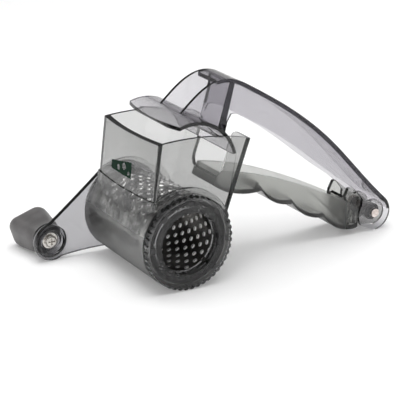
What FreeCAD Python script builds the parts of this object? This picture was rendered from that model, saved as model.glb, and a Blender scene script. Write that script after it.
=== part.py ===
import FreeCAD, Part
import math
import os

# Rotary cheese grater, in millimetres. X runs from the hopper to the hinge, Y along the drum from its
# outlet to the crank, Z is up. The pieces are drawn about the drum's axis, half way across the hopper,
# and saved with the origin in the middle of the outlet, at the face of the front collar.
# It stands as it lies on a table, on the drum housing and the knuckle of the lever.
# The lever is drawn part open, the crank low and to the front.

Vector = FreeCAD.Vector

# ---- driving dimensions ----
wall = 1.9                      # hopper, housing and lever walls
drum_radius = 22.5              # outside of the steel tube
drum_sheet = 0.6                # its thickness
housing_bore = 23.3             # inside of the drum housing
housing_radius = 25.2           # outside of the drum housing
housing_front = -32.3           # open end of the housing
housing_back = 30.4             # crank end of the housing

hopper_half = 28.7              # half the width of the hopper
front_foot = (-17.7, 19.1)      # X, Z of a point low on the outside of the front wall
front_slope = 0.0854            # run for each millimetre of rise
front_bow = 2.4                 # how far the middle of the front wall stands out
front_taper = 0.033             # the front wall is thicker towards its rim
front_corner = 1.3              # radius of the hopper's upright front corners
back_foot = (26.6, 10.3)        # the same for the back wall
back_slope = 0.3316
rim_front = (-14.9, 51.9)       # rim of the hopper, seen from the side
rim_middle = (12.0, 52.6)
rim_back = (39.22, 48.35)
notch_half = 14.5               # half the width of the notch the lever swings through
notch_floor = 23.5
notch_corner = 6.0

hinge = (136.8, -15.0)          # X, Z of the hinge
pin_radius = 2.5
pin_play = 0.06                 # radial play of the pin in the handle
pin_press = 0.01                # and in the lever, which holds it
grip_half = 11.1                # half the width of the lever and of the lower handle
tongue_half = 8.5               # half the width of the tongue between the lever's cheeks
knuckle_radius = 10.2           # rear end of the lever

plate_centre = (7.3, 34.8)      # the presser plate is round about this line
plate_radius = 25.6             # its upper face
plate_half = 25.9               # half its width
plate_sheet = 2.0
plate_rear_deg = 13.5
plate_front_deg = 109.5
plate_bow_deg = 5.6             # how much further round the middle of its front edge reaches

collar_radius = 25.0
collar_bore = 16.6
collar_front = -36.8
collar_back = -33.0
hub_inner_face = 20.0
hub_outer_face = 28.8
socket_half = 4.3               # square socket in the hub
spigot_half = 4.0               # square spigot of the crank

disc_radius = 25.2             # crank disc that closes the crank end, flush with the housing
crank_front = 31.0              # near face of the crank plate
crank_plate = 3.0
crank_end = (-43.6, -15.0)      # X, Z of the knob's axis
crank_end_radius = 10.1
boss_radius = 8.8
boss_front = 30.6
boss_back = 37.6
recess_radius = 6.5
screw_radius = 2.0
screw_play = 0.08

knob_front = 38.0
knob_length = 25.0


# ---- helpers ----
def at(point, y=0.0):
    """A point of the side view at a given Y."""
    return Vector(point[0], y, point[1])


def polar(centre, radius, degrees):
    angle = math.radians(degrees)
    return (centre[0] + radius * math.cos(angle), centre[1] + radius * math.sin(angle))


def line(start, end):
    return Part.makeLine(at(start), at(end))


def arc(start, middle, end):
    return Part.Arc(at(start), at(middle), at(end)).toShape()


def curve(*points):
    spline = Part.BSplineCurve()
    spline.interpolate([at(point) for point in points])
    return spline.toShape()


def lines(*points):
    return [line(a, b) for a, b in zip(points, points[1:])]


def side_prism(edges, low, high):
    """A closed outline in the side view, drawn out along Y from low to high."""
    face = Part.Face(Part.Wire(Part.__sortEdges__(edges)))
    solid = face.extrude(Vector(0, high - low, 0))
    solid.translate(Vector(0, low, 0))
    return solid


def rod(radius, low, high, centre=(0.0, 0.0)):
    """A round bar along Y."""
    return Part.makeCylinder(radius, high - low, at(centre, low), Vector(0, 1, 0))


def ring(outer, inner, low, high, centre=(0.0, 0.0)):
    return rod(outer, low, high, centre).cut(rod(inner, low - 1, high + 1, centre))


def block(x_range, y_range, z_range):
    size = [high - low for low, high in (x_range, y_range, z_range)]
    return Part.makeBox(*size, Vector(x_range[0], y_range[0], z_range[0]))


def moved(point, direction, distance):
    """The point moved at right angles to a direction, to its left."""
    length = math.hypot(*direction)
    return (point[0] - direction[1] / length * distance,
            point[1] + direction[0] / length * distance)


def inset_points(points, distance):
    """Points of an open line moved to its left by a distance."""
    result = []
    for i, point in enumerate(points):
        before = points[max(i - 1, 0)]
        after = points[min(i + 1, len(points) - 1)]
        result.append(moved(point, (after[0] - before[0], after[1] - before[1]), distance))
    return result


def mirrored(shape):
    return shape.mirror(Vector(0, 0, 0), Vector(0, 1, 0))


def joined(first, *others):
    return first.fuse(list(others)).removeSplitter()


def save(name, shape):
    shape.translate(Vector(0, -collar_front, 0))
    shape.exportStep("parts/" + name + ".step")
    box = shape.BoundBox
    print(name, "solids", len(shape.Solids), "valid", shape.isValid(), "volume", round(shape.Volume),
          "x %.1f %.1f y %.1f %.1f z %.1f %.1f" % (box.XMin, box.XMax, box.YMin, box.YMax, box.ZMin, box.ZMax))


# ---- hopper and drum housing ----
def hopper_block(inset, floor):
    """The hopper's outside, or its inside when inset by the wall."""
    half = hopper_half - inset
    slope = front_slope + (front_taper if inset > 0 else 0.0)
    front_x = front_foot[0] - slope * front_foot[1] + inset
    far_x = 70.0
    plan = Part.Wire([
        Part.makeLine(Vector(far_x, -half, 0), Vector(far_x, half, 0)),
        Part.makeLine(Vector(far_x, half, 0), Vector(front_x, half, 0)),
        Part.Arc(Vector(front_x, half, 0), Vector(front_x - front_bow, 0, 0),
                 Vector(front_x, -half, 0)).toShape(),
        Part.makeLine(Vector(front_x, -half, 0), Vector(far_x, -half, 0)),
    ])
    height = 70.0
    upright = Part.Face(plan).extrude(Vector(slope * height, 0, height))
    front_edges = [edge for edge in upright.Edges
                   if abs(edge.Length - math.hypot(height, slope * height)) < 0.01
                   and edge.CenterOfMass.x < 10]
    upright = upright.makeFillet(max(front_corner - inset, 0.4), front_edges)
    return upright.common(hopper_side(inset, floor, -half, half))


def hopper_side(inset, floor, low, high):
    """Side view of the hopper, open to the front, with its curved rim and leaning back wall."""
    beyond = -45.0
    rise = 8.0 if inset > 0 else 0.0
    shift = inset * math.hypot(1.0, back_slope)
    back_floor = (back_foot[0] - shift + back_slope * (floor - back_foot[1]), floor)
    back_top = (rim_back[0] - shift + back_slope * rise, rim_back[1] + rise)
    front_top = (rim_front[0], rim_front[1] + rise)
    edges = lines(front_top, (beyond, front_top[1]), (beyond, floor), back_floor, back_top)
    edges.append(arc(back_top, (rim_middle[0], rim_middle[1] + rise), front_top))
    return side_prism(edges, low, high)


def lever_notch():
    """Cut in the back wall, with rounded corners below and rounded ears above."""
    ear = 2.5
    top = 60.0
    right = notch_half
    edges = [
        Part.makeLine(Vector(0, -right + notch_corner, notch_floor), Vector(0, right - notch_corner, notch_floor)),
        Part.makeLine(Vector(0, right, notch_floor + notch_corner), Vector(0, right, top)),
        Part.makeLine(Vector(0, right, top), Vector(0, -right, top)),
        Part.makeLine(Vector(0, -right, top), Vector(0, -right, notch_floor + notch_corner)),
    ]
    for side in (-1, 1):
        centre_y = side * (right - notch_corner)
        middle = notch_corner * math.sqrt(0.5)
        edges.append(Part.Arc(
            Vector(0, centre_y, notch_floor),
            Vector(0, centre_y + side * middle, notch_floor + notch_corner - middle),
            Vector(0, side * right, notch_floor + notch_corner)).toShape())
    face = Part.Face(Part.Wire(Part.__sortEdges__(edges)))
    cut = face.extrude(Vector(40, 0, 0))
    cut.translate(Vector(20, 0, 0))
    for side in (-1, 1):
        # rounded ear: a square of cut less a quarter round
        base = rim_back[1] - ear
        corner = block((30, 45), sorted((side * right, side * (right + ear))), (base, base + 6))
        round_bar = Part.makeCylinder(ear, 20, Vector(28, side * (right + ear), base), Vector(1, 0, 0))
        cut = cut.fuse(corner.cut(round_bar))
    return cut


def arch(low, high):
    """Thick rim that follows the housing across a side wall of the hopper."""
    rim = rod(housing_radius + 2.6, low, high)
    return rim.common(hopper_side(0.0, 6.0, low, high)).common(hopper_front_limit(low, high))


def hopper_front_limit(low, high):
    """Everything behind the outside of the front wall at the hopper's side."""
    def front(z):
        return (front_foot[0] + front_slope * (z - front_foot[1]), z)
    return side_prism(lines(front(0), (60, 0), (60, 60), front(60), front(0)), low, high)


def foot_band():
    """Thicker strip along the bottom of the front wall."""
    proud = 0.8
    strip = hopper_block(-proud, 10.0)
    keep = block((-40, -15.6), (-hopper_half - proud, hopper_half + proud), (10.0, 22.6))
    return strip.common(keep)


def hopper_body():
    body = hopper_block(0.0, 0.0)
    body = body.fuse([
        rod(housing_radius, housing_front, housing_back),
        arch(-hopper_half - 2.4, -hopper_half),
        arch(hopper_half, housing_back - 0.2),
        foot_band(),
    ])
    body = body.cut(rod(housing_bore, housing_front - 1, housing_back + 1))
    body = body.cut(hopper_block(wall, 2.0))
    body = body.cut(lever_notch())
    return body.removeSplitter()


# ---- lower handle ----
handle_root_top = (30.4, 25.9)
handle_top = [handle_root_top, (46.5, 23.0), (60.3, 19.2), (77.1, 13.2), (94.2, 6.0), (111.0, -2.0),
              (125.0, -9.2)]
handle_groove_ends = [(29.2, 18.8), (59.5, 10.9), (80.0, 0.2), (101.6, -11.4), (123.4, -21.8)]
groove_depth = 3.2              # how far each finger swell stands below the line of its ends
handle_end_x = 125.0


def swell_middle(start, end, depth):
    centre = ((start[0] + end[0]) / 2, (start[1] + end[1]) / 2)
    return moved(centre, (end[0] - start[0], end[1] - start[1]), -depth)


def handle_underside(rise):
    """Arcs of the grip's underside, raised to give the inside of its floor."""
    edges = []
    ends = handle_groove_ends
    for start, end in zip(ends, ends[1:]):
        middle = swell_middle(start, end, groove_depth)
        edges.append(arc(*[(p[0], p[1] + rise) for p in (start, middle, end)]))
    return edges


def handle_shell():
    underside = handle_underside(0.0)
    tail = handle_groove_ends[-1]
    end_low = (handle_end_x, tail[1] + 0.6)
    outline = [curve(*handle_top)] + underside
    outline += lines(tail, end_low, handle_top[-1]) + [line(handle_groove_ends[0], handle_root_top)]
    outer = side_prism(outline, -grip_half, grip_half)
    rise = 2.1
    inner_start = (handle_groove_ends[0][0], handle_groove_ends[0][1] + rise)
    inner_tail = (tail[0], tail[1] + rise)
    above = 30.0
    inner = handle_underside(rise)
    inner += lines(inner_tail, (tail[0], tail[1] + above), (inner_start[0], tail[1] + above + 45),
                   inner_start)
    channel = side_prism(inner, -grip_half + 1.8, grip_half - 1.8)
    end_wall = block((20, 32.4), (-grip_half, grip_half), (10, 40))
    return outer.cut(channel.cut(end_wall))


def tongue_outline():
    hub_radius = 7.2
    upper = polar(hinge, hub_radius, 112)
    far = polar(hinge, hub_radius, 0)
    lower = polar(hinge, hub_radius, 250)
    edges = lines(lower, (119.0, -18.6), (117.0, -14.5), (117.0, -3.5), (119.4, 1.5), (121.2, 1.5),
                  (130.2, -5.8), upper)
    edges.append(arc(upper, far, lower))
    return edges


def tongue():
    """Two plates that stand in the grip and reach the hinge, with a tube for the pin and a web between."""
    plate = 2.4
    left = side_prism(tongue_outline(), -tongue_half, -tongue_half + plate)
    tube = rod(4.8, -tongue_half + plate, tongue_half - plate, hinge)
    web = side_prism(lines((117.0, -17.0), (119.2, -18.0), (119.2, -4.0), (117.0, -4.5), (117.0, -17.0)),
                     -tongue_half + plate, tongue_half - plate)
    return [left, mirrored(left), tube, web]


def cross_rib(foot, top, thickness):
    """Rib across the inside of the grip."""
    edges = lines(foot, (foot[0] + thickness, foot[1]), (top[0] + thickness, top[1]), top, foot)
    return side_prism(edges, -grip_half + 1.0, grip_half - 1.0)


def lower_handle():
    handle = handle_shell().fuse(tongue() + [
        cross_rib((54.4, 11.4), (56.6, 15.4), 1.6),
        cross_rib((117.8, -19.4), (120.6, -10.4), 1.6),
    ])
    handle = handle.cut(rod(pin_radius + pin_play, -20, 20, hinge))
    # the root follows the leaning back wall
    behind_wall = hopper_side(-0.02, 5.0, -20, 20)
    return handle.cut(behind_wall).removeSplitter()


# ---- press lever ----
lever_crown = [(30.1, 75.2), (39.1, 75.1), (50.2, 70.1), (70.9, 57.8), (101.2, 35.0), (129.2, 6.7),
               (143.6, -7.2)]
lever_lower = [(41.5, 56.2), (59.2, 46.4), (84.6, 29.3), (109.6, 10.3), (121.6, 1.4), (127.6, -5.4)]
crown_thickness = 2.3           # back of the arm
head_foot = (7.5, 59.6)         # where the cheeks' front edge meets the plate
cross_wall_low = (30.2, 46.0)   # front of the wall across the back of the head
cross_wall_top = (37.6, 73.8)
cross_wall_foot = 4.6           # its thickness at the foot and at the top
cross_wall_sheet = 3.2
knuckle_front = 11.0            # front of the knuckle, measured from the hinge


def lever_rear():
    """Edges round the knuckle, from the end of the crown to the start of the lower edge."""
    crown_end = lever_crown[-1]
    lower_end = lever_lower[-1]
    side = polar(hinge, knuckle_radius, 5)
    bottom = polar(hinge, knuckle_radius, -90)
    front_low = polar(hinge, knuckle_front, 214)
    front_high = polar(hinge, knuckle_front, 150)
    return [
        arc(crown_end, polar(hinge, knuckle_radius - 0.05, 25), side),
        arc(side, polar(hinge, knuckle_radius, -45), bottom),
        line(bottom, front_low),
        arc(front_low, polar(hinge, knuckle_front, 182), front_high),
        line(front_high, lower_end),
    ]


def cheek_outline():
    front = [head_foot, (16.8, 68.1), (23.4, 72.6), lever_crown[0]]
    plate_rear = polar(plate_centre, plate_radius - 0.4, 24)
    edges = [curve(*front), curve(*lever_crown)] + lever_rear()
    edges.append(curve(*reversed(lever_lower)))
    edges += lines(lever_lower[0], (38.6, 56.4), (36.0, 52.0), plate_rear)
    middle = polar(plate_centre, plate_radius - 0.4, 60)
    edges.append(arc(plate_rear, middle, head_foot))
    return edges


def crown_wall():
    """Thick back of the arm, from the head to the knuckle."""
    outer = lever_crown
    inner = inset_points(outer, -crown_thickness)
    edges = [curve(*outer), curve(*inner), line(outer[0], inner[0]), line(outer[-1], inner[-1])]
    return side_prism(edges, -grip_half, grip_half)


def knuckle_back():
    """Wall that closes the rear of the knuckle behind the tongue."""
    outer_top = lever_crown[-1]
    inner_top = inset_points(lever_crown, -crown_thickness)[-1]
    reach = knuckle_radius - 1.5
    edges = [
        arc(outer_top, polar(hinge, knuckle_radius - 0.05, 25), polar(hinge, knuckle_radius, 5)),
        line(polar(hinge, knuckle_radius, 5), polar(hinge, reach + 0.1, 5)),
        arc(polar(hinge, reach + 0.1, 5), polar(hinge, reach + 0.1, 25), inner_top),
        line(inner_top, outer_top),
    ]
    return side_prism(edges, -grip_half, grip_half)


def cross_wall():
    """Wall between the cheeks at the back of the head, thicker at its foot."""
    low, top = cross_wall_low, cross_wall_top
    edges = lines(low, (low[0] + cross_wall_foot, low[1]), (top[0] + cross_wall_sheet, top[1] - 1.0),
                  top, low)
    return side_prism(edges, -grip_half, grip_half)


def presser_plate():
    """Saddle plate, round about the drum's axis once the lever is down, its front edge bowed."""
    inner = plate_radius - plate_sheet
    front_deg = plate_front_deg + plate_bow_deg
    rear_out = polar(plate_centre, plate_radius, plate_rear_deg)
    front_out = polar(plate_centre, plate_radius, front_deg)
    middle_deg = (plate_rear_deg + front_deg) / 2
    edges = [
        arc(rear_out, polar(plate_centre, plate_radius, middle_deg), front_out),
        arc(polar(plate_centre, inner, plate_rear_deg), polar(plate_centre, inner, middle_deg),
            polar(plate_centre, inner, front_deg)),
        line(rear_out, polar(plate_centre, inner, plate_rear_deg)),
        line(front_out, polar(plate_centre, inner, front_deg)),
    ]
    saddle = side_prism(edges, -plate_half, plate_half)
    # the bow is cut in plan: an arc from corner to corner through the middle of the front edge
    corner_x = polar(plate_centre, plate_radius, plate_front_deg)[0]
    middle_x = front_out[0]
    beyond = plate_half + 2.0
    plan = Part.Wire(Part.__sortEdges__([
        Part.Arc(Vector(corner_x, -plate_half, 0), Vector(middle_x, 0, 0),
                 Vector(corner_x, plate_half, 0)).toShape(),
        Part.makeLine(Vector(corner_x, plate_half, 0), Vector(corner_x, beyond, 0)),
        Part.makeLine(Vector(corner_x, beyond, 0), Vector(60, beyond, 0)),
        Part.makeLine(Vector(60, beyond, 0), Vector(60, -beyond, 0)),
        Part.makeLine(Vector(60, -beyond, 0), Vector(corner_x, -beyond, 0)),
        Part.makeLine(Vector(corner_x, -beyond, 0), Vector(corner_x, -plate_half, 0)),
    ]))
    return saddle.common(Part.Face(plan).extrude(Vector(0, 0, 90)))


def press_lever():
    cheek = side_prism(cheek_outline(), -grip_half, -grip_half + wall)
    arm = cheek.fuse([mirrored(cheek), crown_wall(), knuckle_back(), cross_wall(), presser_plate()])
    # nothing of the cross wall stays below the plate, where the cheese is pressed
    arm = arm.cut(rod(plate_radius - plate_sheet, -40, 40, plate_centre))
    arm = arm.cut(rod(pin_radius + pin_press, -20, 20, hinge))
    return arm.removeSplitter()


# ---- hinge pin ----
pin_cap_radius = 3.9


def hinge_pin():
    """Plain shank, flush with the near cheek and long enough at the far side for the cap."""
    return rod(pin_radius, -grip_half - 0.3, grip_half + 1.4, hinge)


def hinge_pin_cap():
    """Push-on cap that grips the plain end of the pin."""
    cap = ring(pin_cap_radius, pin_radius, grip_half + 0.05, grip_half + 1.4, hinge)
    return joined(cap, rod(pin_cap_radius, grip_half + 1.4, grip_half + 2.2, hinge))


# ---- drum ----
hole_rows = 10
holes_round = 24
hole_radius = 1.4
tab_count = 8
tab_width = 3.0
tab_fold = 1.4                  # how far each tab is folded inwards over the collar
tab_sheet = 0.5
tab_front = collar_front + 0.05 # just below the collar's face
tab_room = 0.1                  # room round a tab in the collar


def turned(shape, degrees):
    copy = shape.copy()
    copy.rotate(Vector(0, 0, 0), Vector(0, 1, 0), degrees)
    return copy


def grating_drum():
    inner = drum_radius - drum_sheet
    drum_front = collar_back + 0.02
    tube = ring(drum_radius, inner, drum_front, 28.0)
    first_row, last_row = -24.5, 16.5
    punches = []
    for row in range(hole_rows):
        y = first_row + (last_row - first_row) * row / (hole_rows - 1)
        for step in range(holes_round):
            degrees = 360 / holes_round * (step + 0.5 * (row % 2))
            punch = Part.makeCylinder(hole_radius, 4, Vector(drum_radius - 2, y, 0), Vector(1, 0, 0))
            punches.append(turned(punch, degrees))
    tube = tube.cut(punches)
    # tabs go through the collar and are folded into pockets in its face
    tabs = []
    for step in range(tab_count):
        stem = block((inner + 0.02, drum_radius - 0.02), (tab_front, drum_front + 0.5),
                     (-tab_width / 2, tab_width / 2))
        fold = block((inner - tab_fold, drum_radius - 0.02), (tab_front, tab_front + tab_sheet),
                     (-tab_width / 2, tab_width / 2))
        tabs.append(turned(stem.fuse(fold), 360 / tab_count * step))
    return joined(tube, *tabs)


# ---- front collar ----
knurl_count = 44


def front_collar():
    flange = ring(collar_radius, collar_bore, collar_front, collar_back)
    spigot = ring(drum_radius - drum_sheet - 0.03, drum_radius - drum_sheet - 1.6, collar_back, -27.5)
    mouth = ring(collar_bore + 1.6, collar_bore, collar_back, -30.6)
    seam_turn = 11              # keeps the seams of the round faces clear of the slots
    collar = turned(flange.fuse([spigot, mouth]), seam_turn)
    grooves = []
    for step in range(knurl_count):
        groove = rod(1.15, collar_front - 1, collar_back + 1, (collar_radius + 0.45, 0.0))
        grooves.append(turned(groove, 360 / knurl_count * step))
    slots = []
    for step in range(tab_count):
        half = tab_width / 2 + tab_room
        slot = block((drum_radius - drum_sheet - 0.03, drum_radius + 0.03),
                     (collar_front - 1, collar_back + 1), (-half, half))
        pocket = block((drum_radius - drum_sheet - tab_fold - tab_room, drum_radius + 0.03),
                       (collar_front - 1, tab_front + tab_sheet + 0.02), (-half, half))
        slots.append(turned(slot.fuse(pocket), 360 / tab_count * step))
    # shallow step round the face, outside the tabs
    face_step = ring(collar_radius - 1.6, collar_radius - 2.0, collar_front - 1, collar_front + 0.4)
    return collar.cut(grooves + slots + [face_step]).removeSplitter()


# ---- rear hub ----
spoke_count = 3


def rear_hub():
    outer = drum_radius - drum_sheet - 0.03
    rim = ring(outer, outer - 2.4, hub_inner_face + 2.0, hub_outer_face)
    lip = ring(drum_radius + 0.3, outer - 2.4, 28.02, hub_outer_face)
    boss = rod(8.0, hub_inner_face, hub_outer_face)
    spokes = []
    for step in range(spoke_count):
        spoke = block((6.0, outer - 1.0), (hub_inner_face + 2.0, hub_inner_face + 6.0), (-3.0, 3.0))
        spokes.append(turned(spoke, 360 / spoke_count * step + 20))
    hub = joined(rim, lip, boss, *spokes)
    socket = block((-socket_half, socket_half), (hub_inner_face + 1.5, hub_outer_face + 1),
                   (-socket_half, socket_half))
    return hub.cut(socket)


# ---- crank ----
def crank_outline():
    """Teardrop: almost straight above, hollow below."""
    upper_disc = polar((0, 0), disc_radius, 128)
    upper_end = polar(crank_end, crank_end_radius, 100)
    lower_end = polar(crank_end, crank_end_radius, -58)
    lower_disc = polar((0, 0), disc_radius, 242)
    return [
        arc(upper_disc, (-30.6, 7.0), upper_end),
        arc(upper_end, polar(crank_end, crank_end_radius, 200), lower_end),
        arc(lower_end, (-25.0, -22.4), lower_disc),
        arc(lower_disc, polar((0, 0), disc_radius, 0), upper_disc),
    ]


def crank_arm():
    back = crank_front + crank_plate
    plate = side_prism(crank_outline(), crank_front, back)
    boss = rod(boss_radius, boss_front, boss_back, crank_end)
    centring = ring(housing_bore - 0.4, housing_bore - 2.0, 29.3, crank_front)
    spigot = block((-spigot_half, spigot_half), (22.0, crank_front), (-spigot_half, spigot_half))
    hub_cap = rod(9.0, back, back + 1.6)
    arm = plate.fuse([boss, centring, spigot, hub_cap])
    recesses = [
        rod(recess_radius, boss_front - 1, boss_front + 2.6, crank_end),
        rod(5.0, boss_front - 1, boss_front + 4.4, crank_end),
        rod(screw_radius + screw_play, boss_front - 1, boss_back + 1, crank_end),
    ]
    return arm.cut(recesses).removeSplitter()


# ---- knob ----
washer_seat = boss_front + 4.4


def rounded_rectangle(half_long, half_high, corner):
    """Edges of a rectangle with round corners, about the origin of the side view."""
    arcs = []
    for side, up, degrees in ((1, 1, 0), (-1, 1, 90), (-1, -1, 180), (1, -1, 270)):
        centre = (side * (half_long - corner), up * (half_high - corner))
        arcs.append([polar(centre, corner, degrees + turn) for turn in (0, 45, 90)])
    edges = [arc(*points) for points in arcs]
    edges += [line(this[2], following[0]) for this, following in zip(arcs, arcs[1:] + arcs[:1])]
    return edges


def knob_section(y, half_long, half_high, corner):
    """Rounded rectangle across the knob, square to the arm."""
    section = Part.Wire(Part.__sortEdges__(rounded_rectangle(half_long, half_high, corner)))
    arm_tilt = math.degrees(math.atan2(-crank_end[1], -crank_end[0]))
    section.rotate(Vector(0, 0, 0), Vector(0, 1, 0), -arm_tilt)
    section.translate(at(crank_end, y))
    return section


def knob():
    end = knob_front + knob_length
    sections = [
        knob_section(knob_front, 6.9, 6.3, 4.6),
        knob_section(knob_front + 1.6, 8.0, 7.2, 5.2),
        knob_section(knob_front + knob_length * 0.5, 10.1, 8.4, 5.0),
        knob_section(end - 2.6, 10.7, 7.9, 4.8),
        knob_section(end, 9.2, 6.6, 4.2),
    ]
    body = Part.makeLoft(sections, True, False)
    return body.cut(rod(3.5, knob_front - 1, knob_front + 15.0, crank_end))


def knob_insert():
    return ring(3.47, screw_radius + 0.02, knob_front, knob_front + 14.0, crank_end)


def knob_screw():
    head_front = washer_seat - 0.6 - 2.1
    head = rod(3.2, head_front, washer_seat - 0.62, crank_end)
    head = head.makeFillet(0.9, [edge for edge in head.Edges
                                 if abs(edge.BoundBox.YMax - head_front) < 1e-3])
    shank = rod(screw_radius, washer_seat - 0.7, knob_front + 12.5, crank_end)
    screw = joined(head, shank)
    for turn in (0, 90):
        slot = block((-2.0, 2.0), (head_front - 1, head_front + 1.2), (-0.4, 0.4))
        slot = turned(slot, turn)
        slot.translate(at(crank_end))
        screw = screw.cut(slot)
    return screw


def knob_washer():
    return ring(4.4, screw_radius + 0.05, washer_seat - 0.6, washer_seat - 0.02, crank_end)


os.makedirs("parts", exist_ok=True)
save("hopper_body", hopper_body())
save("lower_handle", lower_handle())
save("press_lever", press_lever())
save("hinge_pin", hinge_pin())
save("hinge_pin_cap", hinge_pin_cap())
save("grating_drum", grating_drum())
save("front_collar", front_collar())
save("rear_hub", rear_hub())
save("crank_arm", crank_arm())
save("knob", knob())
save("knob_insert", knob_insert())
save("knob_screw", knob_screw())
save("knob_washer", knob_washer())
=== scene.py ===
import math

import bpy
from mathutils import Matrix, Vector


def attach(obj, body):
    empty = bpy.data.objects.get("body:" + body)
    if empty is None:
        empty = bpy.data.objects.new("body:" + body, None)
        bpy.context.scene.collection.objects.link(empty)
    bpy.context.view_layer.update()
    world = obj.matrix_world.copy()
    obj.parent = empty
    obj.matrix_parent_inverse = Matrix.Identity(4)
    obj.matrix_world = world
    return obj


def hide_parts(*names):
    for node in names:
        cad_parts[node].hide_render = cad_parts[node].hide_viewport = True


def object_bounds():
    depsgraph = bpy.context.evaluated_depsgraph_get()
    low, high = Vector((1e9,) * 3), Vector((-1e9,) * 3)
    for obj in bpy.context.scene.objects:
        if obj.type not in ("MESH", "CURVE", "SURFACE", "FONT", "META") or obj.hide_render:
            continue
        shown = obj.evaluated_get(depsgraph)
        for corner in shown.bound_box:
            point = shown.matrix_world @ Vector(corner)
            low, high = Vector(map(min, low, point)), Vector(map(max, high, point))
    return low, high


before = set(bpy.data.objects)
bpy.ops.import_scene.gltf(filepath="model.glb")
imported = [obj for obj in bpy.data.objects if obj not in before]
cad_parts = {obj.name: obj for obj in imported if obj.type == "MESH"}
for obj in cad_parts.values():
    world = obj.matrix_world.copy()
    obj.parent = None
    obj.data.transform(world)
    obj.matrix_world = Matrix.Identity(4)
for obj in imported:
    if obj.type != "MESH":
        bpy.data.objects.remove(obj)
cadLow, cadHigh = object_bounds()
mm = 0.001
print("frame loaded:", len(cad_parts), "nodes")


# the drum's axis is the frame's Y axis; the object stands on its lowest point
floorHeight = cadLow.z
middle = (cadLow + cadHigh) / 2


class Value:
    # a socket that can stand in a sum: each sum adds its own Math node
    def __init__(self, look, socket):
        self.look = look
        self.socket = socket

    def __add__(self, other):
        return self.look.maths("ADD", self, other)

    def __radd__(self, other):
        return self.look.maths("ADD", other, self)

    def __sub__(self, other):
        return self.look.maths("SUBTRACT", self, other)

    def __rsub__(self, other):
        return self.look.maths("SUBTRACT", other, self)

    def __mul__(self, other):
        return self.look.maths("MULTIPLY", self, other)

    def __rmul__(self, other):
        return self.look.maths("MULTIPLY", other, self)


class Look:
    # one material and the nodes in it
    def __init__(self, name):
        self.material = bpy.data.materials.new(name)
        self.material.use_nodes = True
        self.nodes = self.material.node_tree.nodes
        self.links = self.material.node_tree.links
        self.nodes.clear()

    def add(self, kind, settings=None, sockets=None):
        node = self.nodes.new(kind)
        for name, setting in (settings or {}).items():
            if name == "stops":
                self.setStops(node.color_ramp, setting)
            else:
                setattr(node, name, setting)
        for key, given in (sockets or {}).items():
            if isinstance(given, Value):
                given = given.socket
            if isinstance(given, bpy.types.NodeSocket):
                self.links.new(given, node.inputs[key])
            else:
                node.inputs[key].default_value = given
        return node

    def setStops(self, ramp, stops):
        while len(ramp.elements) < len(stops):
            ramp.elements.new(0.5)
        for element, (place, colour) in zip(ramp.elements, stops):
            element.position = place
            element.color = (*colour, 1.0)

    def objectPlace(self):
        return self.add("ShaderNodeTexCoord").outputs["Object"]

    def part(self, axis):
        # one coordinate of the place, in metres
        node = self.add("ShaderNodeSeparateXYZ", None, {0: self.objectPlace()})
        return Value(self, node.outputs[axis])

    def noise(self, scale, detail=2.0, place=None):
        sockets = {"Vector": place or self.objectPlace(), "Scale": scale, "Detail": detail}
        return Value(self, self.add("ShaderNodeTexNoise", None, sockets).outputs[0])

    def stretched(self, scale):
        # the place with each axis scaled by its own amount
        return self.add("ShaderNodeMapping", None, {0: self.objectPlace(), "Scale": scale}).outputs[0]

    def fade(self, value, low, high, start=0.0, end=1.0):
        # start below low, end above high, smooth between
        node = self.add("ShaderNodeMapRange", {"interpolation_type": "SMOOTHSTEP"},
                        {0: value, 1: low, 2: high, 3: start, 4: end})
        return Value(self, node.outputs[0])

    def nearDrum(self, full, none):
        # 1 within a distance of the drum's axis, 0 beyond another
        x = self.part("X")
        z = self.part("Z")
        away = self.maths("SQRT", x * x + z * z)
        return self.fade(away, full, none, 1.0, 0.0)

    def maths(self, operation, first, second=0.0):
        node = self.add("ShaderNodeMath", {"operation": operation}, {0: first, 1: second})
        return Value(self, node.outputs[0])

    def mixed(self, factor, first, second):
        node = self.add("ShaderNodeMix", {"data_type": "RGBA"}, {0: factor, 6: first, 7: second})
        return node.outputs[2]

    def bump(self, height, distance, strength=1.0):
        sockets = {"Height": height, "Distance": distance, "Strength": strength}
        return self.add("ShaderNodeBump", None, sockets).outputs[0]

    def clearShell(self, body, plastic):
        # lamps shine through it, and its thickness darkens what is seen through it
        shade = self.add("ShaderNodeBsdfTransparent", None, {"Color": (*plastic["shadow"], 1.0)})
        rays = self.add("ShaderNodeLightPath")
        surface = self.add("ShaderNodeMixShader", None, {
            0: rays.outputs["Is Shadow Ray"], 1: body.outputs[0], 2: shade.outputs[0]})
        depth = self.add("ShaderNodeVolumeAbsorption", None, {
            "Color": (*plastic["tint"], 1.0), "Density": plastic["density"]})
        return self.finish(surface, depth)

    def finish(self, surface, volume=None):
        output = self.add("ShaderNodeOutputMaterial")
        self.links.new(surface.outputs[0], output.inputs["Surface"])
        if volume:
            self.links.new(volume.outputs[0], output.inputs["Volume"])
        return self.material


# finishes
def clearPlastic(name, plastic):
    look = Look(name)
    smudge = look.noise(plastic["smudgeScale"], 4.0)
    ripple = look.noise(plastic["rippleScale"], 1.0)
    roughness = plastic["roughness"] + smudge * plastic["smudge"]
    if plastic["frost"]:
        # the drum housing is satin, more so in its lower half
        roughness = roughness + look.nearDrum(plastic["hazeWithin"], plastic["clearBeyond"]) * (
            plastic["haze"] + look.fade(look.part("Z"), plastic["frostBelow"], plastic["hazeAbove"],
                                        plastic["frost"], 0.0))
    body = look.add("ShaderNodeBsdfPrincipled", None, {
        "Base Color": (*plastic["surface"], 1.0),
        "Roughness": roughness,
        "IOR": plastic["ior"],
        "Transmission Weight": 1.0,
        "Normal": look.bump(ripple, plastic["rippleDepth"]),
    })
    return look.clearShell(body, plastic)


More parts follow.
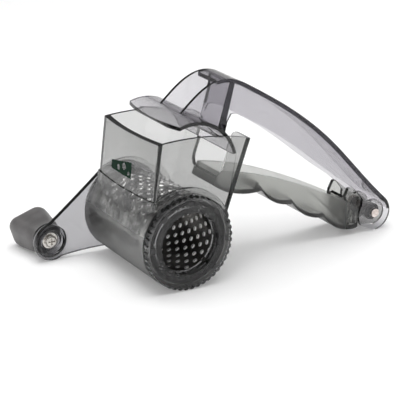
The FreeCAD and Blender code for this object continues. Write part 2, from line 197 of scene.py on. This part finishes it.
hopperPlastic = {
    "surface": (0.97, 0.97, 0.97),
    "roughness": 0.02,
    "smudge": 0.06,
    "smudgeScale": 90.0,
    "rippleScale": 35.0,
    "rippleDepth": 0.05 * mm,
    "ior": 1.49,
    "tint": (0.03, 0.035, 0.02),
    "density": 185.0,
    "shadow": (0.72, 0.72, 0.72),
    # distances from the drum's axis
    "hazeWithin": 25.3 * mm,
    "clearBeyond": 26.2 * mm,
    "haze": 0.19,
    # heights; frost 0 leaves the whole moulding clear
    "frostBelow": -14 * mm,
    "hazeAbove": 10 * mm,
    "frost": 0.30,
}
leverPlastic = dict(hopperPlastic, tint=(0.04, 0.0, 0.09), density=165.0, frost=0.0)
collarPlastic = dict(hopperPlastic, tint=(0.03, 0.03, 0.04), density=250.0, frost=0.0)
crankPlastic = dict(hopperPlastic, tint=(0.04, 0.03, 0.07), density=240.0, frost=0.0)


gripPlastic = {
    "surface": (0.97, 0.975, 0.955),
    "polish": 0.03,
    "roughness": 0.20,
    "cloudScale": 70.0,
    "cloud": 0.14,
    "grainScale": 2600.0,
    "grainDepth": 0.02 * mm,
    "polishedFrom": 116.5 * mm,
    "polishedOver": 2 * mm,
    "ior": 1.49,
    "tint": (0.03, 0.035, 0.015),
    "density": 215.0,
    "shadow": (0.6, 0.6, 0.59),
}


def satinGrip():
    look = Look("satin_grip")
    cloud = look.noise(gripPlastic["cloudScale"], 3.0)
    grain = look.noise(gripPlastic["grainScale"])
    # the tongue at the hinge is polished
    edge = gripPlastic["polishedFrom"]
    satin = look.fade(look.part("X"), edge, edge + gripPlastic["polishedOver"], 1.0, 0.0)
    roughness = gripPlastic["roughness"] + cloud * gripPlastic["cloud"]
    roughness = gripPlastic["polish"] + satin * roughness
    body = look.add("ShaderNodeBsdfPrincipled", None, {
        "Base Color": (*gripPlastic["surface"], 1.0),
        "Roughness": roughness,
        "IOR": gripPlastic["ior"],
        "Transmission Weight": 1.0,
        "Normal": look.bump(grain, gripPlastic["grainDepth"], 0.6),
    })
    return look.clearShell(body, gripPlastic)


steel = {
    "dark": (0.32, 0.32, 0.32),
    "light": (0.96, 0.955, 0.94),
    "inside": (0.16, 0.155, 0.14),
    "tabs": (0.06, 0.06, 0.06),
    "roughness": 0.22,
    "cloudScale": 150.0,
    # painted shade: the bore's inner face is painted darker, and the tabs folded over the collar are
    # painted near black as shade under the collar
    "insideWithin": 22.0 * mm,
    "outsideBeyond": 22.3 * mm,
    "tabsUpTo": 1.0 * mm,
    "drumFrom": 1.4 * mm,
    "brushing": (4000.0, 120.0, 4000.0),
    "brushDepth": 0.01 * mm,
}


def drumSteel():
    look = Look("drum_steel")
    lines = look.noise(1.0, 4.0, look.stretched(steel["brushing"]))
    cloud = look.noise(steel["cloudScale"], 2.0)
    colour = look.mixed(look.fade(cloud, 0.34, 0.66), (*steel["dark"], 1.0), (*steel["light"], 1.0))
    # painted shade inside the drum's bore: a darker steel colour within the inner radius
    inside = look.nearDrum(steel["insideWithin"], steel["outsideBeyond"])
    colour = look.mixed(inside, colour, (*steel["inside"], 1.0))
    # painted shade: the tabs folded over the collar get a near-black steel colour for the shade under
    # the collar
    behindTabs = look.fade(look.part("Y"), steel["tabsUpTo"], steel["drumFrom"])
    colour = look.mixed(behindTabs, (*steel["tabs"], 1.0), colour)
    body = look.add("ShaderNodeBsdfPrincipled", None, {
        "Base Color": colour,
        "Metallic": 1.0,
        "Roughness": steel["roughness"] + (cloud - 0.5) * 0.2,
        "Normal": look.bump(lines, steel["brushDepth"], 0.5),
    })
    return look.finish(body)


pinSteel = {
    "dark": (0.55, 0.47, 0.44),
    "light": (0.80, 0.72, 0.69),
    "roughness": 0.28,
}
screwSteel = {
    "dark": (0.50, 0.47, 0.43),
    "light": (0.75, 0.73, 0.70),
    "roughness": 0.25,
}
insertBrass = {
    "dark": (0.45, 0.32, 0.14),
    "light": (0.72, 0.55, 0.28),
    "roughness": 0.3,
}


def turnedMetal(name, metal):
    look = Look(name)
    cloud = look.noise(700.0, 3.0)
    colour = look.mixed(look.fade(cloud, 0.3, 0.7), (*metal["dark"], 1.0), (*metal["light"], 1.0))
    body = look.add("ShaderNodeBsdfPrincipled", None, {
        "Base Color": colour,
        "Metallic": 1.0,
        "Roughness": metal["roughness"] + (cloud - 0.5) * 0.15,
        "Normal": look.bump(look.noise(3000.0), 0.01 * mm, 0.4),
    })
    return look.finish(body)


knobPlastic = {
    "dark": (0.085, 0.082, 0.082),
    "light": (0.125, 0.12, 0.12),
    "roughness": 0.42,
}


def satinKnob():
    look = Look("knob_plastic")
    cloud = look.noise(120.0, 3.0)
    grain = look.noise(3500.0, 2.0)
    colour = look.mixed(look.fade(cloud, 0.3, 0.7), (*knobPlastic["dark"], 1.0),
                        (*knobPlastic["light"], 1.0))
    body = look.add("ShaderNodeBsdfPrincipled", None, {
        "Base Color": colour,
        "Roughness": knobPlastic["roughness"] + (grain - 0.5) * 0.15,
        "IOR": 1.5,
        "Normal": look.bump(grain, 0.03 * mm, 0.7),
    })
    return look.finish(body)


def workOn(piece):
    if bpy.context.mode != "OBJECT":
        bpy.ops.object.mode_set(mode="OBJECT")
    bpy.ops.object.select_all(action="DESELECT")
    piece.select_set(True)
    bpy.context.view_layer.objects.active = piece


def applied(piece, kind, **settings):
    workOn(piece)
    bpy.ops.object.modifier_add(type=kind)
    modifier = piece.modifiers[-1]
    for name, setting in settings.items():
        setattr(modifier, name, setting)
    bpy.ops.object.modifier_apply(modifier=modifier.name)


def settle(piece, material, body, smoothAngle=None):
    # place goes into the mesh, then the piece gets its finish and its body
    workOn(piece)
    bpy.ops.object.transform_apply(location=True, rotation=True, scale=True)
    if smoothAngle:
        bpy.ops.object.shade_smooth_by_angle(angle=math.radians(smoothAngle))
    piece.data.materials.clear()
    piece.data.materials.append(material)
    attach(piece, body)
    return piece


softening = {
    "mergeWithin": 0.004 * mm,
    # degrees
    "flatWithin": 0.4,
    "bevelAbove": 34,
    "smoothBelow": 40,
}


def softened(nodeName, pieceName, bevel, segments=2):
    # a merged copy of a moulding, with its edges rounded
    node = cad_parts[nodeName]
    piece = bpy.data.objects.new(pieceName, node.data.copy())
    bpy.context.collection.objects.link(piece)
    workOn(piece)
    bpy.ops.mesh.customdata_custom_splitnormals_clear()
    bpy.ops.object.mode_set(mode="EDIT")
    bpy.ops.mesh.select_all(action="SELECT")
    bpy.ops.mesh.remove_doubles(threshold=softening["mergeWithin"])
    bpy.ops.mesh.dissolve_limited(angle_limit=math.radians(softening["flatWithin"]))
    bpy.ops.object.mode_set(mode="OBJECT")
    applied(piece, "BEVEL", width=bevel, segments=segments, limit_method="ANGLE",
            angle_limit=math.radians(softening["bevelAbove"]), harden_normals=False)
    bpy.ops.object.shade_smooth_by_angle(angle=math.radians(softening["smoothBelow"]))
    applied(piece, "WEIGHTED_NORMAL", weight=100, keep_sharp=True)
    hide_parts(nodeName)
    return piece


cameraLook = {
    "lens": 147.17,
    "sensor": 36.0,
    "place": Vector((-401.5, -655.5, 303.5)) * mm,
    "aim": Vector((29.8, 40.1, 5.8)) * mm,
    "roll": 1.62,
}


def addCamera():
    data = bpy.data.cameras.new("camera")
    data.lens = cameraLook["lens"]
    data.sensor_width = cameraLook["sensor"]
    data.clip_start = 0.02
    camera = bpy.data.objects.new("camera", data)
    bpy.context.collection.objects.link(camera)
    camera.location = cameraLook["place"]
    towards = (cameraLook["aim"] - cameraLook["place"]).to_track_quat("-Z", "Y")
    roll = Matrix.Rotation(math.radians(cameraLook["roll"]), 3, "Z")
    camera.rotation_euler = (towards.to_matrix() @ roll).to_euler()
    bpy.context.scene.camera = camera


studio = {
    "lights": [
        # name, place, width, height, watts
        ("overhead", (-0.10, 0.10, 1.10), 1.0, 1.0, 9.0),
        ("left_front", (-1.0, -0.7, 0.65), 0.5, 0.9, 5.0),
        ("right_back", (0.9, 0.8, 0.7), 0.4, 0.9, 3.0),
    ],
    "sky": 1.06,
    # brightness of the room by height, from the horizon to straight up
    "skyStops": [(0.0, 0.85), (0.12, 0.75), (0.25, 0.22), (0.7, 0.22), (0.9, 0.5)],
    "floor": (0.93, 0.93, 0.93),
    "floorLight": (0.95, 0.95, 0.95),
    "floorSize": 12.0,
    "floorGap": 0.2 * mm,
    "floorGlow": 0.1,
}


def addLights():
    for name, place, width, height, watts in studio["lights"]:
        data = bpy.data.lights.new(name, "AREA")
        data.shape = "RECTANGLE"
        data.size = width
        data.size_y = height
        data.energy = watts
        lamp = bpy.data.objects.new(name, data)
        lamp.location = place
        lamp.rotation_euler = (middle - Vector(place)).to_track_quat("-Z", "Y").to_euler()
        bpy.context.collection.objects.link(lamp)


def addSky():
    world = bpy.data.worlds.new("studio")
    world.use_nodes = True
    bpy.context.scene.world = world
    nodes = world.node_tree.nodes
    links = world.node_tree.links
    background = nodes["Background"]
    place = nodes.new("ShaderNodeTexCoord")
    split = nodes.new("ShaderNodeSeparateXYZ")
    ramp = nodes.new("ShaderNodeValToRGB")
    links.new(place.outputs["Generated"], split.inputs[0])
    links.new(split.outputs["Z"], ramp.inputs[0])
    links.new(ramp.outputs[0], background.inputs["Color"])
    stops = studio["skyStops"]
    while len(ramp.color_ramp.elements) < len(stops):
        ramp.color_ramp.elements.new(0.5)
    for element, (height, brightness) in zip(ramp.color_ramp.elements, stops):
        element.position = height
        element.color = (brightness, brightness, brightness, 1.0)
    background.inputs["Strength"].default_value = studio["sky"]


def addFloor():
    bpy.ops.object.select_all(action="DESELECT")
    bpy.ops.mesh.primitive_plane_add(size=studio["floorSize"],
                                     location=(middle.x, middle.y, floorHeight - studio["floorGap"]))
    floor = bpy.context.object
    floor.name = "floor"
    look = Look("floor_paper")
    grain = look.noise(40.0, 3.0)
    colour = look.mixed(look.fade(grain, 0.3, 0.7), (*studio["floor"], 1.0),
                        (*studio["floorLight"], 1.0))
    paper = look.add("ShaderNodeBsdfPrincipled", None, {
        "Base Color": colour, "Roughness": 0.9, "Specular IOR Level": 0.1,
        "Emission Color": (1.0, 1.0, 1.0, 1.0), "Emission Strength": studio["floorGlow"]})
    floor.data.materials.append(look.finish(paper))


bpy.context.scene.view_settings.view_transform = "Standard"
addCamera()
addLights()
addSky()
addFloor()
print("camera, light and floor ready")


# raised lips round the drum's holes
teeth = {
    "rows": 10,
    "round": 24,
    "firstRow": 12.3 * mm,
    "lastRow": 53.3 * mm,
    "drumRadius": 22.5 * mm,
    "holeRadius": 1.4 * mm,
    "foot": 1.95 * mm,
    "height": 0.42 * mm,
    "spike": 0.16 * mm,
    "sunk": 0.08 * mm,
    "sheet": 0.22 * mm,
}


def oneTooth():
    # a burst lip: a low cone round the hole, its rim drawn up into four points
    bpy.ops.object.select_all(action="DESELECT")
    bpy.ops.mesh.primitive_cone_add(vertices=12, radius1=teeth["foot"], radius2=teeth["holeRadius"],
                                    depth=teeth["height"], end_fill_type="NOTHING",
                                    location=(0, 0, teeth["height"] / 2))
    tooth = bpy.context.object
    tooth.name = "one_tooth"
    bpy.ops.object.transform_apply(location=True)
    for vertex in tooth.data.vertices:
        turn = math.atan2(vertex.co.y, vertex.co.x)
        if vertex.co.z > teeth["height"] / 2:
            vertex.co.z += teeth["spike"] * math.cos(4 * turn)
    applied(tooth, "SOLIDIFY", thickness=teeth["sheet"], offset=-1.0)
    return tooth


def drumTeeth(material):
    first = oneTooth()
    copies = []
    for row in range(teeth["rows"]):
        y = teeth["firstRow"] + (teeth["lastRow"] - teeth["firstRow"]) * row / (teeth["rows"] - 1)
        for step in range(teeth["round"]):
            turn = 2 * math.pi / teeth["round"] * (step + 0.5 * (row % 2))
            tooth = bpy.data.objects.new("tooth", first.data.copy())
            bpy.context.collection.objects.link(tooth)
            place = Matrix.Translation((0, y, 0)) @ Matrix.Rotation(turn, 4, "Y")
            outwards = Matrix.Translation((0, 0, teeth["drumRadius"] - teeth["sunk"]))
            tooth.data.transform(place @ outwards)
            copies.append(tooth)
    bpy.data.objects.remove(first)
    workOn(copies[0])
    for tooth in copies:
        tooth.select_set(True)
    bpy.ops.object.join()
    lips = bpy.context.object
    lips.name = "drum_teeth"
    return settle(lips, material, "drum", 40)


# printed on the front wall
mark = {
    "middle": (39.2 * mm, 33.2 * mm),
    "width": 21.0 * mm,
    "height": 8.6 * mm,
    "tip": 4.4 * mm,
    "holes": [
        # sideways, up, radius
        (-2.5 * mm, -1.6 * mm, 1.5 * mm),
        (3.2 * mm, 0.3 * mm, 1.9 * mm),
        (8.0 * mm, -2.2 * mm, 1.1 * mm),
    ],
    "cuts": 12,
    "startBefore": -60 * mm,
    "gap": 0.02 * mm,
    "ink": 0.05 * mm,
    "colour": (0.008, 0.022, 0.014),
    "fleck": (0.014, 0.034, 0.022),
}


def printInk():
    look = Look("print_ink")
    speck = look.noise(2500.0, 2.0)
    colour = look.mixed(look.fade(speck, 0.3, 0.7), (*mark["colour"], 1.0),
                        (*mark["fleck"], 1.0))
    body = look.add("ShaderNodeBsdfPrincipled", None, {
        "Base Color": colour,
        "Roughness": 0.7 + (speck - 0.5) * 0.2,
        "Specular IOR Level": 0.05,
    })
    return look.finish(body)


def cheeseMark(hopper):
    # a wedge of cheese with three holes, printed on the front wall
    bpy.ops.object.select_all(action="DESELECT")
    y, z = mark["middle"]
    bpy.ops.mesh.primitive_cube_add(size=1.0, location=(0, y, z),
                                    scale=(4 * mm, mark["width"], mark["height"]))
    wedge = bpy.context.object
    wedge.name = "front_mark"
    bpy.ops.object.transform_apply(location=True, scale=True)
    for side, up, radius in mark["holes"]:
        bpy.ops.object.select_all(action="DESELECT")
        bpy.ops.mesh.primitive_cylinder_add(vertices=28, radius=radius, depth=9 * mm,
                                            location=(0, y - side, z + up), rotation=(0, math.pi / 2, 0))
        hole = bpy.context.object
        applied(wedge, "BOOLEAN", operation="DIFFERENCE", object=hole, solver="EXACT")
        bpy.data.objects.remove(hole)
    workOn(wedge)
    bpy.ops.object.mode_set(mode="EDIT")
    bpy.ops.mesh.select_all(action="SELECT")
    slope = (mark["height"] - mark["tip"]) / mark["width"]
    bpy.ops.mesh.bisect(plane_co=(0, y + mark["width"] / 2, z - mark["height"] / 2 + mark["tip"]),
                        plane_no=(0, slope, 1.0), clear_outer=True, use_fill=True)
    # cut into strips, so that it can follow the curved wall
    for step in range(1, mark["cuts"]):
        bpy.ops.mesh.select_all(action="SELECT")
        along = mark["width"] * (step / mark["cuts"] - 0.5)
        bpy.ops.mesh.bisect(plane_co=(0, y + along, z), plane_no=(0, 1, 0))
    bpy.ops.object.mode_set(mode="OBJECT")
    bpy.context.view_layer.update()
    outside = hopper.evaluated_get(bpy.context.evaluated_depsgraph_get())
    for vertex in wedge.data.vertices:
        start = Vector((mark["startBefore"], vertex.co.y, vertex.co.z))
        hit, place, normal, face = outside.ray_cast(start, Vector((1, 0, 0)))
        if not hit:
            raise RuntimeError("the printed mark misses the front wall")
        proud = mark["gap"] + (mark["ink"] if vertex.co.x < 0 else 0.0)
        vertex.co.x = place.x - proud
    return settle(wedge, printInk(), "housing")


def dressNode(name, material):
    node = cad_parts[name]
    node.data.materials.clear()
    node.data.materials.append(material)


hopperMaterial = clearPlastic("smoky_clear", hopperPlastic)
leverMaterial = clearPlastic("smoky_clear_lever", leverPlastic)
crankMaterial = clearPlastic("smoky_clear_crank", crankPlastic)
gripMaterial = satinGrip()
steelMaterial = drumSteel()
collarMaterial = clearPlastic("dark_collar", collarPlastic)
knobMaterial = satinKnob()
pinMaterial = turnedMetal("pin_steel", pinSteel)
screwMaterial = turnedMetal("screw_steel", screwSteel)
brassMaterial = turnedMetal("insert_brass", insertBrass)

hopper = settle(softened("hopper_body", "hopper", 0.3 * mm), hopperMaterial, "housing")
cheeseMark(hopper)
settle(softened("lower_handle", "grip", 0.4 * mm), gripMaterial, "housing")
settle(softened("press_lever", "lever", 0.3 * mm), leverMaterial, "lever")
settle(softened("crank_arm", "crank", 0.4 * mm), crankMaterial, "crank")
settle(softened("front_collar", "collar", 0.2 * mm), collarMaterial, "drum")
settle(softened("rear_hub", "hub", 0.2 * mm), collarMaterial, "drum")
settle(softened("knob", "knob_skin", 0.5 * mm, 3), knobMaterial, "turning_knob")
drumTeeth(steelMaterial)
# these keep their CAD shape and only get a finish
hardParts = {
    "grating_drum": steelMaterial,
    "hinge_pin": pinMaterial,
    "hinge_pin_cap": pinMaterial,
    "knob_insert": brassMaterial,
    "knob_screw": screwMaterial,
    "knob_washer": screwMaterial,
}
for name, material in hardParts.items():
    dressNode(name, material)
print("pieces ready")
